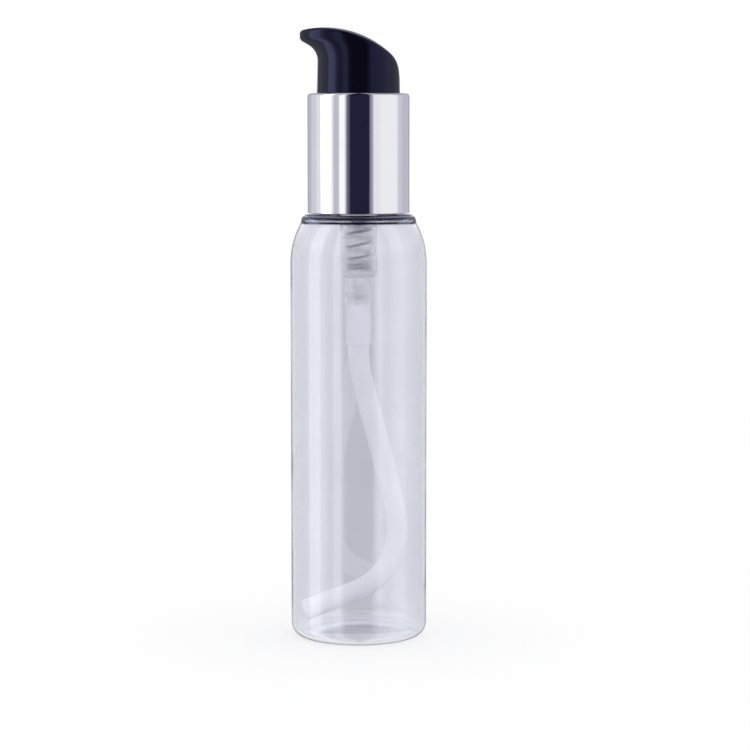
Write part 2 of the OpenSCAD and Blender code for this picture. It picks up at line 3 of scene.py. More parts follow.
import bmesh
import bpy
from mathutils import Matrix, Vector


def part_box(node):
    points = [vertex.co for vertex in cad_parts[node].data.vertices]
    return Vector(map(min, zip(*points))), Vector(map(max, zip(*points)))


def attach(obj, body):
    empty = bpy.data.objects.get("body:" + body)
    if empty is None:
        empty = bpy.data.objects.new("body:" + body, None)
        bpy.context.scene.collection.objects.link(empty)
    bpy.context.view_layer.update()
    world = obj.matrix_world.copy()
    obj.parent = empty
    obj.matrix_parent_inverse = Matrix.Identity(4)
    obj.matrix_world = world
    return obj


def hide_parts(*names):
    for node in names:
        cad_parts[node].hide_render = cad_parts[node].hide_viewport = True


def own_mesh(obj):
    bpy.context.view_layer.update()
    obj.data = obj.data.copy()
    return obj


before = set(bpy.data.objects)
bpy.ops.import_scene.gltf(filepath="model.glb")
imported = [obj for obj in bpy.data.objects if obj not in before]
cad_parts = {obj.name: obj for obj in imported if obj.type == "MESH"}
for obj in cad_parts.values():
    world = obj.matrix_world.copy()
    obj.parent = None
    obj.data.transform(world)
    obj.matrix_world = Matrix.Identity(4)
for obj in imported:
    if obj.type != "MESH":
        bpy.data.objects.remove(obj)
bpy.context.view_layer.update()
mm = 0.001  # outlines are written in millimetres, meshes are in metres
print("frame loaded with", len(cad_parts), "nodes")


def span(node):
    low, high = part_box(node)
    return {"left": low.x / mm, "right": high.x / mm, "low": low.z / mm, "high": high.z / mm}


def roundSpan(node):  # radius, foot and top of a round piece
    box = span(node)
    return box["right"], box["low"], box["high"]


# Node building, shared by shapes and finishes: a socket knows the tree that it is in

def feed(value, socket):
    if isinstance(value, bpy.types.NodeSocket):
        socket.id_data.links.new(value, socket)
    else:
        socket.default_value = value


def place(tree, kind, settings=None, **inputs):
    node = tree.nodes.new(kind)
    for name, value in (settings or {}).items():
        setattr(node, name, value)
    for name, value in inputs.items():
        feed(value, node.inputs[name.replace("_", " ")])
    return node


def calc(operation, *values):
    tree = next(value.id_data for value in values if isinstance(value, bpy.types.NodeSocket))
    node = place(tree, "ShaderNodeMath", {"operation": operation})
    for value, socket in zip(values, node.inputs):
        feed(value, socket)
    return node.outputs[0]


def plus(a, b):
    return calc("ADD", a, b)


def minus(a, b):
    return calc("SUBTRACT", a, b)


def times(a, b):
    return calc("MULTIPLY", a, b)


def over(a, b):
    return calc("GREATER_THAN", a, b)


def clamped(value, low, high):
    return calc("MINIMUM", calc("MAXIMUM", value, low), high)


def remap(value, low, high, toLow, toHigh):
    node = place(value.id_data, "ShaderNodeMapRange", Value=value, From_Min=low, From_Max=high, To_Min=toLow,
                 To_Max=toHigh)
    return node.outputs["Result"]


def apart(vector):  # its X, Y and Z
    return place(vector.id_data, "ShaderNodeSeparateXYZ", Vector=vector).outputs


def ramp(factor, stops):
    node = place(factor.id_data, "ShaderNodeValToRGB", Fac=factor)
    elements = node.color_ramp.elements
    for i, (position, colour) in enumerate(stops):
        element = elements[i] if i < 2 else elements.new(position)
        element.position = position
        element.color = (*colour, 1)
    return node.outputs["Color"]


def mixShaders(share, first, second):
    both = place(share.id_data, "ShaderNodeMixShader", Fac=share)
    feed(first.outputs[0], both.inputs[1])
    feed(second.outputs[0], both.inputs[2])
    return both


# Shared surface effects

noiseSpan = (0.3, 0.7)  # most of a noise lies between these


def newEffect(name, inputs, outputs):
    tree = bpy.data.node_groups.new(name, "ShaderNodeTree")
    for label, value in inputs.items():
        socket = tree.interface.new_socket(label, in_out="INPUT", socket_type="NodeSocketFloat")
        socket.default_value = value
    for label in outputs:
        tree.interface.new_socket(label, in_out="OUTPUT", socket_type="NodeSocketFloat")
    return tree, tree.nodes.new("NodeGroupInput").outputs, tree.nodes.new("NodeGroupOutput").inputs


def noise(spot, scale, **inputs):
    return place(spot.id_data, "ShaderNodeTexNoise", Vector=spot, Scale=scale, **inputs).outputs["Fac"]


def makeMouldedSkin():
    # the slow swell of a moulded wall, with a fine grain on it
    tree, given, result = newEffect(
        "mouldedSkin", {"Swell Scale": 90.0, "Grain Scale": 2500.0, "Grain Share": 0.1}, ["Height", "Tone"])
    spot = place(tree, "ShaderNodeTexCoord").outputs["Object"]
    swell = noise(spot, given["Swell Scale"], Detail=1.0)
    grain = noise(spot, given["Grain Scale"], Detail=3.0)
    feed(plus(swell, times(grain, given["Grain Share"])), result["Height"])
    feed(swell, result["Tone"])
    return tree


def makeHandling():
    # soft smudges and thin hairline scratches left by hands and cloths
    tree, given, result = newEffect(
        "handling", {"Smudge Scale": 60.0, "Hairline Scale": 900.0, "Hairline Width": 0.004},
        ["Smudge", "Hairline"])
    spot = place(tree, "ShaderNodeTexCoord").outputs["Object"]
    stretched = place(tree, "ShaderNodeMapping", Vector=spot, Rotation=(0.3, 0.2, 0.5),
                      Scale=(1.0, 1.0, 0.05))
    lines = noise(stretched.outputs["Vector"], given["Hairline Scale"], Detail=2.0)
    middle = calc("ABSOLUTE", minus(lines, sum(noiseSpan) / 2))
    feed(noise(spot, given["Smudge Scale"], Detail=5.0, Roughness=0.6), result["Smudge"])
    feed(calc("LESS_THAN", middle, given["Hairline Width"]), result["Hairline"])
    return tree


mouldedSkin = makeMouldedSkin()
handling = makeHandling()


def effect(tree, group, **inputs):
    return place(tree, "ShaderNodeGroup", {"node_tree": group}, **inputs)


def newFinish(name, facts, **sockets):
    # every finish has the swell of its wall
    material = bpy.data.materials.new(name)
    material.use_nodes = True
    tree = material.node_tree
    shader = tree.nodes["Principled BSDF"]
    for label, value in sockets.items():
        shader.inputs[label.replace("_", " ")].default_value = value
    skin = effect(tree, mouldedSkin, Swell_Scale=facts["swell"], Grain_Scale=facts["grain"],
                  Grain_Share=facts["grainShare"])
    raised = place(tree, "ShaderNodeBump", Strength=1.0, Distance=facts["height"],
                   Height=skin.outputs["Height"])
    feed(raised.outputs["Normal"], shader.inputs["Normal"])
    return material, tree, shader, skin


def toneBy(pattern, facts):
    return ramp(pattern, list(zip(noiseSpan, (facts["dark"], facts["light"]))))


def plasticFinish(name, facts, **sockets):
    # moulded plastic: its tone follows the swell of the wall, and smudges dull it
    material, tree, shader, skin = newFinish(name, facts, **sockets)
    touch = effect(tree, handling, Smudge_Scale=facts["smudge"])
    feed(toneBy(skin.outputs["Tone"], facts), shader.inputs["Base Color"])
    feed(remap(touch.outputs["Smudge"], *noiseSpan, *facts["gloss"]), shader.inputs["Roughness"])
    return material


def metalFinish(name, facts):
    # bright metal: its tone follows the smudges, which dull it as hairlines do
    material, tree, shader, _ = newFinish(name, facts, Metallic=1.0)
    touch = effect(tree, handling, Smudge_Scale=facts["smudge"], Hairline_Scale=facts["hairline"],
                   Hairline_Width=facts["hairlineWidth"])
    smudged = remap(touch.outputs["Smudge"], *noiseSpan, *facts["gloss"])
    worn = times(touch.outputs["Hairline"], facts["hairlineDull"])
    feed(toneBy(touch.outputs["Smudge"], facts), shader.inputs["Base Color"])
    feed(plus(smudged, worn), shader.inputs["Roughness"])
    return material


def letLightIn(material, tint):
    # soft light passes the wall unbent, so that it reaches the pieces inside
    tree = material.node_tree
    path = place(tree, "ShaderNodeLightPath").outputs
    clear = place(tree, "ShaderNodeBsdfTransparent", Color=(*tint, 1))
    both = mixShaders(path["Is Diffuse Ray"], tree.nodes["Principled BSDF"], clear)
    feed(both.outputs[0], tree.nodes["Material Output"].inputs["Surface"])


def paintShadeByHeight(material, stops):
    # paints shade into the wall by height: stops are heights in millimetres and the share of the tone and of
    # the shine that is left there
    tree = material.node_tree
    shader = tree.nodes["Principled BSDF"]
    tone = shader.inputs["Base Color"].links[0].from_socket
    spot = apart(place(tree, "ShaderNodeTexCoord").outputs["Object"])
    low, high = stops[0][0], stops[-1][0]
    share = remap(spot["Z"], low * mm, high * mm, 0.0, 1.0)
    tint = ramp(share, [((z - low) / (high - low), colour) for z, colour in stops])
    both = place(tree, "ShaderNodeMixRGB", {"blend_type": "MULTIPLY"}, Fac=1.0, Color1=tone, Color2=tint)
    feed(both.outputs[0], shader.inputs["Base Color"])
    feed(tint, shader.inputs["Specular Tint"])


def softenRim(material, facts):
    # the wall shines less where it turns away, so that it keeps its own tone there
    tree = material.node_tree
    facing = place(tree, "ShaderNodeLayerWeight").outputs["Facing"]
    level = remap(facing, *facts["rimSpan"], *facts["rimShine"])
    feed(level, tree.nodes["Principled BSDF"].inputs["Specular IOR Level"])


# Finishes: scales of patterns are per metre, heights of bumps are in metres

clearWall = {"dark": (0.755, 0.769, 0.812), "light": (0.78, 0.794, 0.834), "gloss": (0.01, 0.03),
             "swell": 55.0, "grain": 1500.0, "grainShare": 0.002, "smudge": 45.0, "height": 0.00006,
             "passed": (0.95, 0.95, 0.97)}
petFinish = plasticFinish("clearPet", clearWall, IOR=1.575, Transmission_Weight=1.0)
letLightIn(petFinish, clearWall["passed"])

housingWall = {"dark": (0.985, 0.987, 0.995), "light": (0.995, 0.997, 1.0), "gloss": (0.5, 0.6),
               "swell": 160.0, "grain": 2500.0, "grainShare": 0.02, "smudge": 120.0, "height": 0.00004,
               "passed": (0.97, 0.97, 0.98)}
housingFinish = plasticFinish("clearHousing", housingWall, IOR=1.22, Transmission_Weight=0.9)
letLightIn(housingFinish, housingWall["passed"])

milkyWall = {"dark": (0.89, 0.9, 0.915), "light": (0.94, 0.946, 0.955), "gloss": (0.3, 0.42), "swell": 130.0,
             "grain": 2200.0, "grainShare": 0.05, "smudge": 110.0, "height": 0.00005}
tubeFinish = plasticFinish("milkyTube", milkyWall, IOR=1.3, Transmission_Weight=0.3)

darkShell = {"dark": (0.0026, 0.0022, 0.0055), "light": (0.0034, 0.003, 0.007), "gloss": (0.08, 0.12),
             "swell": 140.0, "grain": 3000.0, "grainShare": 0.02, "smudge": 90.0, "height": 0.000015,
             "rimSpan": (0.4, 0.7), "rimShine": (0.5, 0.06)}
headFinish = plasticFinish("darkGloss", darkShell, IOR=1.42, Specular_Tint=(0.38, 0.44, 1.0, 1))
softenRim(headFinish, darkShell)

closureShell = {"dark": (0.012, 0.012, 0.015), "light": (0.02, 0.02, 0.024), "gloss": (0.35, 0.5),
                "swell": 200.0, "grain": 2600.0, "grainShare": 0.2, "smudge": 140.0, "height": 0.00004}
closureFinish = plasticFinish("closurePlastic", closureShell, IOR=1.5)

whiteShell = {"dark": (0.8, 0.8, 0.79), "light": (0.87, 0.87, 0.86), "gloss": (0.3, 0.45), "swell": 220.0,
              "grain": 2800.0, "grainShare": 0.15, "smudge": 160.0, "height": 0.00004}
whiteFinish = plasticFinish("whitePlastic", whiteShell, IOR=1.5)

rodShell = {"dark": (0.42, 0.43, 0.48), "light": (0.5, 0.51, 0.56), "gloss": (0.28, 0.4), "swell": 260.0,
            "grain": 3000.0, "grainShare": 0.15, "smudge": 180.0, "height": 0.00003}
rodFinish = plasticFinish("rodPlastic", rodShell, IOR=1.5)

foamSheet = {"dark": (0.72, 0.72, 0.7), "light": (0.86, 0.86, 0.84), "gloss": (0.75, 0.9), "swell": 900.0,
             "grain": 4200.0, "grainShare": 0.8, "smudge": 300.0, "height": 0.0001}
gasketFinish = plasticFinish("gasketFoam", foamSheet)

ballGlass = {"dark": (0.86, 0.9, 0.92), "light": (0.93, 0.95, 0.96), "gloss": (0.01, 0.04), "swell": 500.0,
             "grain": 4000.0, "grainShare": 0.01, "smudge": 300.0, "height": 0.00001}
ballFinish = plasticFinish("ballGlass", ballGlass, IOR=1.15, Transmission_Weight=1.0)

collarMetal = {"dark": (0.88, 0.88, 0.905), "light": (0.92, 0.92, 0.94), "gloss": (0.025, 0.055),
               "swell": 60.0, "grain": 2000.0, "grainShare": 0.003, "smudge": 70.0, "height": 0.00002,
               "hairline": 700.0, "hairlineWidth": 0.006, "hairlineDull": 0.04}
collarFinish = metalFinish("brightCollar", collarMetal)

springMetal = {"dark": (0.14, 0.14, 0.17), "light": (0.2, 0.2, 0.23), "gloss": (0.12, 0.22), "swell": 500.0,
               "grain": 5000.0, "grainShare": 0.1, "smudge": 400.0, "height": 0.00001,
               "hairline": 2500.0, "hairlineWidth": 0.03, "hairlineDull": 0.12}
springFinish = metalFinish("springSteel", springMetal)
print("finishes made:", len(bpy.data.materials))


# Geometry Nodes trees: turned pieces, wound pieces and a bent tube

mergeDistance = 1e-6  # metres, joins the two ends of a turn
sharpAngle = 30.0  # degrees, an edge that bends more stays crisp


def newShapeTree(name, sockets):
    tree = bpy.data.node_groups.new(name, "GeometryNodeTree")
    tree.interface.new_socket("Geometry", in_out="INPUT", socket_type="NodeSocketGeometry")
    for label, kind in {**sockets, "Sharp Angle": "Float", "Finish": "Material"}.items():
        tree.interface.new_socket(label, in_out="INPUT", socket_type="NodeSocket" + kind)
    tree.interface.new_socket("Geometry", in_out="OUTPUT", socket_type="NodeSocketGeometry")
    return tree, tree.nodes.new("NodeGroupInput").outputs, tree.nodes.new("NodeGroupOutput").inputs


def unitGrid(tree, columns, rows):
    grid = place(tree, "GeometryNodeMeshGrid", Size_X=1.0, Size_Y=1.0, Vertices_X=columns, Vertices_Y=rows)
    spot = apart(place(tree, "GeometryNodeInputPosition").outputs[0])
    around, along = plus(spot["X"], 0.5), plus(spot["Y"], 0.5)
    row = calc("ROUND", times(along, minus(rows, 1.0)))
    return grid.outputs["Mesh"], around, row


def outlinePoint(tree, given, index):
    spot = place(tree, "GeometryNodeInputPosition")
    sample = place(tree, "GeometryNodeSampleIndex", {"data_type": "FLOAT_VECTOR"},
                   Geometry=given["Geometry"], Value=spot.outputs[0], Index=index)
    point = apart(sample.outputs["Value"])
    return point["X"], point["Z"]


def aboutAxis(r, angle, z):
    return place(r.id_data, "ShaderNodeCombineXYZ", X=times(r, calc("COSINE", angle)),
                 Y=times(r, calc("SINE", angle)), Z=z)


def closeTree(tree, mesh, position, given, result):
    moved = place(tree, "GeometryNodeSetPosition", Geometry=mesh, Position=position.outputs[0])
    merged = place(tree, "GeometryNodeMergeByDistance", Geometry=moved.outputs[0], Distance=mergeDistance)
    smooth = place(tree, "GeometryNodeSetShadeSmooth", {"domain": "FACE"}, Geometry=merged.outputs[0],
                   Shade_Smooth=True)
    bend = place(tree, "GeometryNodeInputMeshEdgeAngle")
    sharp = over(bend.outputs["Unsigned Angle"], given["Sharp Angle"])
    edged = place(tree, "GeometryNodeSetShadeSmooth", {"domain": "EDGE"}, Geometry=smooth.outputs[0],
                  Selection=sharp, Shade_Smooth=False)
    real = place(tree, "GeometryNodeRealizeInstances", Geometry=edged.outputs[0])
    dressed = place(tree, "GeometryNodeSetMaterial", Geometry=real.outputs[0], Material=given["Finish"])
    feed(dressed.outputs[0], result["Geometry"])


def makeTurnedTree():
    # turns an outline of points about the Z axis
    tree, given, result = newShapeTree("turnedPiece", {
        "Rows": "Int", "Outline Points": "Int", "Sides": "Int"})
    mesh, around, row = unitGrid(tree, plus(given["Sides"], 1.0), given["Rows"])
    r, z = outlinePoint(tree, given, calc("FLOORED_MODULO", row, given["Outline Points"]))
    closeTree(tree, mesh, aboutAxis(r, times(around, math.tau), z), given, result)
    return tree


def makeWoundTree():
    # winds a closed section about the Z axis, with closed end turns and an open middle
    tree, given, result = newShapeTree("woundPiece", {
        "Steps": "Int", "Section Points": "Int", "Turns": "Float", "Coil Radius": "Float",
        "Start Height": "Float", "End Pitch": "Float", "Open Pitch": "Float", "Opening Turn": "Float",
        "Closing Turn": "Float", "Opening Run": "Float", "Fade Turns": "Float", "End Share": "Float"})
    rows = plus(given["Steps"], 3.0)  # one ring more at each end closes it
    mesh, around, row = unitGrid(tree, plus(given["Section Points"], 1.0), rows)
    column = calc("ROUND", times(around, given["Section Points"]))
    out, up = outlinePoint(tree, given, calc("FLOORED_MODULO", column, given["Section Points"]))
    step = clamped(minus(row, 1.0), 0.0, given["Steps"])
    turn = times(calc("DIVIDE", step, given["Steps"]), given["Turns"])
    inside = times(over(row, 0.5), calc("LESS_THAN", row, minus(rows, 1.5)))

    def opened(start):
        share = calc("DIVIDE", minus(turn, start), given["Opening Run"])
        eased = clamped(share, 0.0, 1.0)
        cubed = calc("POWER", eased, 3.0)
        curve = minus(cubed, times(times(cubed, eased), 0.5))
        return plus(curve, calc("MAXIMUM", minus(share, 1.0), 0.0))

    openTurns = minus(opened(given["Opening Turn"]), opened(given["Closing Turn"]))
    openRise = times(given["Open Pitch"], times(given["Opening Run"], openTurns))
    height = plus(given["Start Height"], plus(times(given["End Pitch"], turn), openRise))
    fade = calc("DIVIDE", calc("MINIMUM", turn, minus(given["Turns"], turn)), given["Fade Turns"])
    fade = clamped(fade, given["End Share"], 1.0)
    radius = plus(given["Coil Radius"], times(times(out, fade), inside))
    position = aboutAxis(radius, times(turn, math.tau), plus(height, times(up, inside)))
    closeTree(tree, mesh, position, given, result)
    return tree


def makeTubeTree():
    # a tube with a bore, along a line in the plane y = 0
    tree, given, result = newShapeTree("bentTube", {
        "Steps": "Int", "Sides": "Int", "Outer Radius": "Float", "Bore Radius": "Float"})
    steps, outer = given["Steps"], given["Outer Radius"]
    rows = plus(times(steps, 2.0), 1.0)  # down the outside, back up the bore
    mesh, around, row = unitGrid(tree, plus(given["Sides"], 1.0), rows)
    back = over(row, minus(steps, 0.5))
    bored = minus(back, over(row, minus(rows, 1.5)))
    mirrored = minus(minus(rows, 2.0), row)
    step = plus(times(row, minus(1.0, back)), times(mirrored, bored))
    line = place(tree, "GeometryNodeMeshToCurve", Mesh=given["Geometry"])
    sample = place(tree, "GeometryNodeSampleCurve", {"mode": "FACTOR"}, Curves=line.outputs[0],
                   Factor=calc("DIVIDE", step, minus(steps, 1.0)))
    middle, tangent = apart(sample.outputs["Position"]), apart(sample.outputs["Tangent"])
    radius = plus(outer, times(bored, minus(given["Bore Radius"], outer)))
    angle = times(around, math.tau)
    side = times(radius, calc("COSINE", angle))
    position = place(tree, "ShaderNodeCombineXYZ", X=minus(middle["X"], times(side, tangent["Z"])),
                     Y=times(radius, calc("SINE", angle)), Z=plus(middle["Z"], times(side, tangent["X"])))
    closeTree(tree, mesh, position, given, result)
    return tree


turnedTree = makeTurnedTree()
woundTree = makeWoundTree()
tubeTree = makeTubeTree()


def newObject(name, mesh):
    piece = bpy.data.objects.new(name, mesh)
    bpy.context.scene.collection.objects.link(piece)
    return piece


def evaluated(piece):
    plain = bpy.data.meshes.new_from_object(piece.evaluated_get(bpy.context.evaluated_depsgraph_get()))
    if plain.materials[0] is None:  # Set Material leaves an empty slot in front
        plain.materials.pop(index=0)
    piece.modifiers.clear()
    piece.data = plain
    return piece


def faceOutwards(piece):
    work = bmesh.new()
    work.from_mesh(piece.data)
    bmesh.ops.recalc_face_normals(work, faces=work.faces)
    work.to_mesh(piece.data)
    work.free()
    return piece


def shaped(name, tree, points, edges, finish, sharp=sharpAngle, **inputs):
    mesh = bpy.data.meshes.new(name)
    mesh.from_pydata([(x * mm, 0.0, z * mm) for x, z in points], edges, [])
    piece = newObject(name, mesh)
    modifier = piece.modifiers.new(tree.name, "NODES")
    modifier.node_group = tree
    inputs.update({"Sharp_Angle": math.radians(sharp), "Finish": finish})
    for socket in tree.interface.items_tree:
        label = socket.name.replace(" ", "_")
        if socket.in_out == "INPUT" and label in inputs:
            modifier[socket.identifier] = inputs[label]
    return faceOutwards(evaluated(piece))


def turned(name, outline, finish, sides, closed=True, sharp=sharpAngle):
    rows = len(outline) + (1 if closed else 0)
    return shaped(name, turnedTree, outline, [], finish, sharp, Rows=rows, Outline_Points=len(outline),
                  Sides=sides)


def combine(piece, other, operation):
    modifier = piece.modifiers.new(operation.lower(), "BOOLEAN")
    modifier.operation = operation
    modifier.solver = "EXACT"
    modifier.object = other
    evaluated(piece)
    bpy.data.objects.remove(other)
    return piece


# Outlines

def arcPoints(x, z, r, start, end, steps):
    angles = [math.radians(start + (end - start) * i / steps) for i in range(steps + 1)]
    return [(x + r * math.cos(a), z + r * math.sin(a)) for a in angles]


def domePoints(r, z, rise, outwards, steps):
    bigR = (r * r + rise * rise) / (2 * rise)
    half = math.degrees(math.asin(r / bigR))
    ends = (90, 90 - half) if outwards else (90 - half, 90)
    return arcPoints(0, z + rise - bigR, bigR, *ends, steps)


def softCorners(corners, closed=True, steps=4):
    # corners are (r, z), or (r, z, radius) where the corner is rounded
    outline = []
    for i, corner in enumerate(corners):
        here = Vector(corner[:2])
        isEnd = not closed and i in (0, len(corners) - 1)
        if len(corner) < 3 or isEnd:
            outline.append(tuple(here))
            continue
        before = (Vector(corners[i - 1][:2]) - here).normalized()
        after = (Vector(corners[(i + 1) % len(corners)][:2]) - here).normalized()
        half = before.angle(after) / 2
        start = here + before * corner[2] / math.tan(half)
        middle = here + (before + after).normalized() * corner[2] / math.sin(half)
        first = math.atan2(start.y - middle.y, start.x - middle.x)
        sweep = math.copysign(math.pi - 2 * half, after.cross(before))
        angles = [first + sweep * k / steps for k in range(steps + 1)]
        outline += [(middle.x + corner[2] * math.cos(a), middle.y + corner[2] * math.sin(a)) for a in angles]
    return outline


def moveWith(piece, body, node):
    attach(piece, body)
    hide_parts(node)


# Bottle

collarSpan = span("collar_shell")
bottleSpan = span("bottle")
# the dark bands, their edge and their tint in this table are painted shade on the glass at the ring
bottle = {"wall": 0.9, "baseT": 1.3, "baseRise": 2.2, "heelR": 3.8, "footRingW": 1.4, "shoulderH": 14.0,
          "shoulderR": 24.0, "ringH": 2.3, "ringEdgeR": 2.0, "collarGap": 0.4, "neckR": 10.95,
          "neckWall": 1.15, "mouthEdge": 0.4, "paintedShadeBands": [(-0.15, 0.3), (0.9, 1.65)], "paintedShadeEdge": 0.12,
          "paintedShadeTint": (0.05, 0.055, 0.1), "sides": 192, "domeSteps": 16, "heelSteps": 20,
          "innerHeelSteps": 16, "shoulderSteps": 24, "ringSteps": 12, "neckSteps": 6, "sharp": 20.0}
thread = {"pitch": 3.175, "neckTurns": 1.5, "capTurns": 1.25, "depth": 1.05, "rootW": 1.7, "crestW": 0.8,
          "start": 2.2, "sink": 0.3, "fade": 1 / 12, "endShare": 0.15, "gap": 0.25, "flankGap": 0.2,
          "stepsPerTurn": 48}


def threadRidge(name, rootR, inwards, z, turns, finish):
    side = -1 if inwards else 1
    root, crest = thread["rootW"] / 2, thread["crestW"] / 2
    out, sunk = side * thread["depth"], -side * thread["sink"]
    section = [(sunk, -root), (0, -root), (out, -crest), (out, crest), (0, root), (sunk, root)]
    return shaped(
        name, woundTree, section, [], finish, Steps=round(thread["stepsPerTurn"] * turns),
        Section_Points=len(section), Turns=turns, Coil_Radius=rootR * mm, Start_Height=z * mm,
        End_Pitch=thread["pitch"] * mm, Open_Pitch=0.0, Opening_Turn=turns, Closing_Turn=turns,
        Opening_Run=1.0, Fade_Turns=thread["fade"], End_Share=thread["endShare"])


def paintRingShadeBands(ringZ):
    # painted shade: two dark bands painted into the wall's tone and shine at the ring, standing in for the
    # dark of the closure seen through the ring
    clear, dark, edge = (1, 1, 1), bottle["paintedShadeTint"], bottle["paintedShadeEdge"]
    stops = []
    for low, high in bottle["paintedShadeBands"]:
        stops += [(ringZ + low - edge, clear), (ringZ + low, dark), (ringZ + high, dark),
                  (ringZ + high + edge, clear)]
    paintShadeByHeight(petFinish, stops)


def makeBottle():
    b = bottle
    bodyR, mouthZ = bottleSpan["right"], bottleSpan["high"]
    topZ = collarSpan["low"] - b["collarGap"]
    shoulderZ, shoulderX = topZ - b["shoulderH"], bodyR - b["shoulderR"]
    ringZ = topZ - b["ringH"]
    ringR = shoulderX + math.sqrt(b["shoulderR"] ** 2 - (ringZ - shoulderZ) ** 2)
    ringTurn = math.degrees(math.asin((ringZ - shoulderZ) / b["shoulderR"]))
    innerR = b["shoulderR"] - b["wall"]
    innerTurn = math.degrees(math.asin((topZ - b["wall"] - shoulderZ) / innerR))
    footR = bodyR - b["heelR"]
    domeR = footR - b["footRingW"]
    neckBore = b["neckR"] - b["neckWall"]
    edgeX, edgeZ = ringR - b["ringEdgeR"], topZ - b["ringEdgeR"]
    outline = domePoints(domeR, 0, b["baseRise"], True, b["domeSteps"])
    outline += arcPoints(footR, b["heelR"], b["heelR"], -90, 0, b["heelSteps"])
    outline += arcPoints(shoulderX, shoulderZ, b["shoulderR"], 0, ringTurn, b["shoulderSteps"])
    outline += arcPoints(edgeX, edgeZ, b["ringEdgeR"], 0, 90, b["ringSteps"])
    outline += [(b["neckR"], topZ), (b["neckR"], mouthZ - b["mouthEdge"]),
                (b["neckR"] - b["mouthEdge"], mouthZ), (neckBore, mouthZ)]
    outline += arcPoints(neckBore + b["wall"], topZ, b["wall"], 180, 270, b["neckSteps"])
    outline += arcPoints(shoulderX, shoulderZ, innerR, innerTurn, 0, b["shoulderSteps"])
    outline += arcPoints(footR, b["heelR"], b["heelR"] - b["wall"], 0, -90, b["innerHeelSteps"])
    outline += domePoints(domeR, b["wall"], b["baseRise"] + b["baseT"] - b["wall"], False, b["domeSteps"])
    # paints two bands of shade into the glass at the ring
    paintRingShadeBands(ringZ)
    body = turned("bottleBody", outline, petFinish, closed=False, sides=b["sides"], sharp=b["sharp"])
    threadZ = mouthZ - thread["start"] - thread["pitch"] * thread["neckTurns"]
    ridge = threadRidge("neckThread", b["neckR"], False, threadZ, thread["neckTurns"], petFinish)
    moveWith(combine(body, ridge, "UNION"), "bottle", "bottle")
    return threadZ


threadZ = makeBottle()
print("bottle made")


# Closure and collar

closure = {"plateGap": 0.1, "plateT": 1.4, "plateHoleR": 6.72, "sleeveWall": 1.61, "edge": 0.25, "sides": 128}
collar = {"wall": 0.55, "edgeR": 0.9, "lipW": 1.9, "lipEdge": 0.25, "footR": 0.2, "edgeSteps": 10,
          "sides": 192}


def makeClosure():
    c = closure
    outR, lowZ, highZ = roundSpan("screw_closure")
    e, sleeveR, holeR = c["edge"], outR - c["sleeveWall"], c["plateHoleR"]
    plateZ = span("pump_housing")["high"] + c["plateGap"]
    plateTop = plateZ + c["plateT"]
    boreR = bottle["neckR"] + thread["depth"] + thread["gap"]
    outline = softCorners([
        (outR, lowZ, e), (outR, highZ, e), (sleeveR, highZ, e), (sleeveR, plateTop, e), (holeR, plateTop, e),
        (holeR, plateZ, e), (boreR, plateZ, e), (boreR, lowZ, e)])
    cap = turned("screwCap", outline, closureFinish, sides=c["sides"])
    slope = (thread["rootW"] - thread["crestW"]) / thread["depth"]
    step = thread["rootW"] - slope * (thread["depth"] + thread["gap"]) / 2 + thread["flankGap"]
    ridge = threadRidge("capThread", boreR, True, threadZ - step, thread["capTurns"], closureFinish)
    moveWith(combine(cap, ridge, "UNION"), "closure", "screw_closure")


def makeCollar():
    c = collar
    outR, lowZ, highZ = roundSpan("collar_shell")
    inR, lipZ = outR - c["wall"], highZ - c["wall"]
    lipR = inR - c["lipW"]
    outline = softCorners([
        (outR, lowZ, c["footR"]), (outR, highZ, c["edgeR"]), (lipR, highZ, c["lipEdge"]),
        (lipR, lipZ, c["lipEdge"]), (inR, lipZ, c["edgeR"] - c["wall"]), (inR, lowZ, c["footR"])],
        steps=c["edgeSteps"])
    shell = turned("collarShell", outline, collarFinish, sides=c["sides"])
    moveWith(shell, "closure", "collar_shell")


makeClosure()
makeCollar()
print("closure and collar made")


# Pump

pump = {"flangeT": 1.2, "housingDepth": 35.5, "floorT": 1.5, "boreR": 4.2, "wall": 1.05, "plugR": 5.2,
        "plugGap": 0.02, "plugClear": 0.1, "taperDrop": 1.9, "tubeR": 3.0, "tailWall": 1.0,
        "tubeInsert": 11.7, "seatRise": 1.6, "inletR": 1.2, "chamberR": 2.45, "edge": 0.2, "bendEdge": 0.4,
        "sides": 96, "nibs": 3, "nibR": 0.4, "nibEdge": 0.24, "nibRise": 2.96, "nibReach": 1.7,
        "nibSink": 0.3, "nibSides": 24}
ball = {"steps": 32, "sides": 64}
gasket = {"edge": 0.15, "sideGap": 0.15, "sides": 96}
retainer = {"neckR": 6.5, "guideR": 4.0, "guideH": 1.9, "flangeT": 1.0, "stemGap": 0.04, "edge": 0.2,
            "sides": 96}
piston = {"lipH": 1.3, "waistR": 3.4, "seatR": 2.4, "innerR": 1.88, "stepRise": 1.5, "edge": 0.2, "sides": 96}
rod = {"r": 1.48, "noseLen": 4.6, "noseEdge": 0.45, "flangeT": 0.8, "coneR": 3.0, "flat": 0.98, "edge": 0.15,
       "sides": 96}
stem = {"boreR": 1.5, "r": 2.5, "collarRise": 0.8, "collarT": 1.5, "edge": 0.15, "sides": 64}


